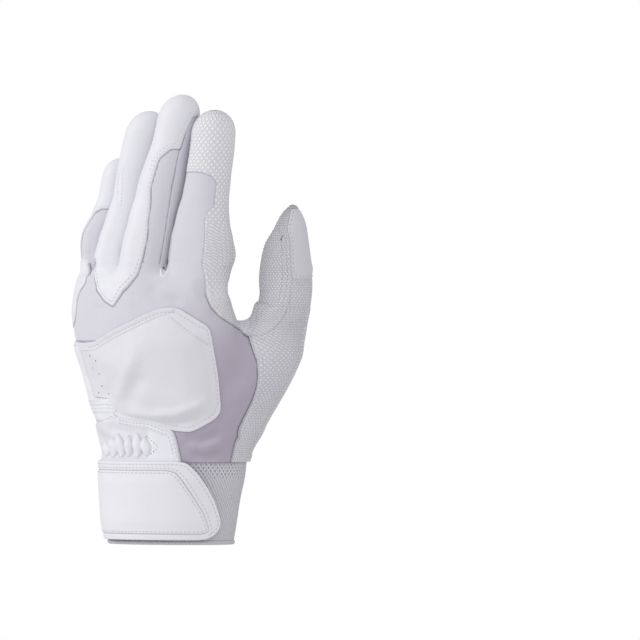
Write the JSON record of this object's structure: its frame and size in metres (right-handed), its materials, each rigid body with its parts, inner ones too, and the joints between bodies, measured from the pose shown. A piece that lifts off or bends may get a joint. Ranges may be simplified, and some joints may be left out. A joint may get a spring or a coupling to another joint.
{
  "type": "batting glove",
  "caption": "Left-hand batting glove standing on its cuff: leather and knit panels, padded back, five bending fingers and a hook-and-loop wrist strap.",
  "frame": {"origin": "middle of the bounding box, on the flat lower edge of the cuff", "axes": "+Z from the cuff to the fingertips, +X to the thumb side, -Y to the back of the hand"},
  "size_m": [0.1362, 0.0584, 0.2376],
  "materials": {
    "smooth_leather": "smooth, soft sheen",
    "grip_leather": "embossed with small diamonds",
    "knit": "fine matt stretch knit",
    "elastic_knit": "ribbed elastic mesh",
    "pad_foam": "closed-cell foam",
    "hook_and_loop": "nylon hooks and loops"
  },
  "bodies": {
    "hand": {"index_flex_sleeve": "knit", "middle_flex_sleeve": "knit", "ring_flex_sleeve": "knit", "little_flex_sleeve": "knit", "thumb_flex_sleeve": "knit", "palm_panel": "grip_leather", "little_side_panel": "smooth_leather", "web_leather_panel": "grip_leather", "side_leather_panel": "grip_leather", "finger_root_leather": "smooth_leather", "little_root_leather": "smooth_leather", "back_knit_panel": "knit", "shirred_wrist_panel": "smooth_leather", "wrist_elastic": "elastic_knit", "back_pad_foam": "pad_foam", "back_pad_cover": "smooth_leather", "cuff_band": "elastic_knit", "cuff_hem": "elastic_knit", "slit_gusset": "knit", "cuff_loop_patch": "hook_and_loop", "strap_root_tab": "smooth_leather"},
    "index_finger": {"index_back_knit": "knit", "index_fourchette": "knit", "index_wrap_panel": "grip_leather"},
    "middle_finger": {"middle_back_knit": "knit", "middle_radial_fourchette": "knit", "middle_palm_panel": "grip_leather", "middle_ulnar_fourchette": "knit", "middle_tip_panel": "smooth_leather"},
    "ring_finger": {"ring_radial_fourchette": "knit", "ring_palm_panel": "grip_leather", "ring_ulnar_fourchette": "knit", "ring_tip_panel": "smooth_leather"},
    "little_finger": {"little_back_knit": "knit", "little_fourchette": "knit", "little_palm_panel": "grip_leather", "little_tip_panel": "smooth_leather"},
    "thumb": {"thumb_smooth_patch": "smooth_leather", "thumb_back_panel": "grip_leather", "thumb_palm_panel": "grip_leather", "thumb_inner_panel": "grip_leather"},
    "strap": {"strap_base": "smooth_leather", "strap_raised_panel": "smooth_leather", "strap_border": "smooth_leather", "strap_hook_patch": "hook_and_loop"}
  },
  "joints": [
    {"name": "index_flex", "type": "hinge", "parent": "hand", "child": "index_finger", "pos_m": [0.01537, -0.00172, 0.15389], "axis": [-0.9958, 0, 0.0915], "range_deg": [0, 60], "stiffness_Nm_per_rad": 0.03, "deforming": ["index_flex_sleeve"]},
    {"name": "middle_flex", "type": "hinge", "parent": "hand", "child": "middle_finger", "pos_m": [-0.01504, -0.00377, 0.15459], "axis": [-0.9751, 0, 0.2218], "range_deg": [0, 60], "stiffness_Nm_per_rad": 0.03, "deforming": ["middle_flex_sleeve"]},
    {"name": "ring_flex", "type": "hinge", "parent": "hand", "child": "ring_finger", "pos_m": [-0.03753, 0.00559, 0.15471], "axis": [-0.9701, 0, 0.2426], "range_deg": [0, 60], "stiffness_Nm_per_rad": 0.03, "deforming": ["ring_flex_sleeve"]},
    {"name": "little_flex", "type": "hinge", "parent": "hand", "child": "little_finger", "pos_m": [-0.05522, 0.01902, 0.15424], "axis": [-0.9715, 0, 0.2369], "range_deg": [0, 60], "stiffness_Nm_per_rad": 0.02, "deforming": ["little_flex_sleeve"]},
    {"name": "thumb_flex", "type": "hinge", "parent": "hand", "child": "thumb", "pos_m": [0.05173, 0.01895, 0.13179], "axis": [-0.7984, -0.5988, 0.0637], "range_deg": [0, 40], "stiffness_Nm_per_rad": 0.03, "deforming": ["thumb_flex_sleeve"]},
    {"name": "strap_open", "type": "hinge", "parent": "hand", "child": "strap", "pos_m": [-0.04202, 0.00677, 0.0026], "axis": [0.0742, -0.0131, -0.9972], "range_deg": [0, 100]}
  ],
  "couplings": [
    {"joint": "ring_flex", "follows": "middle_flex", "ratio": 1},
    {"joint": "little_flex", "follows": "middle_flex", "ratio": 1}
  ]
}
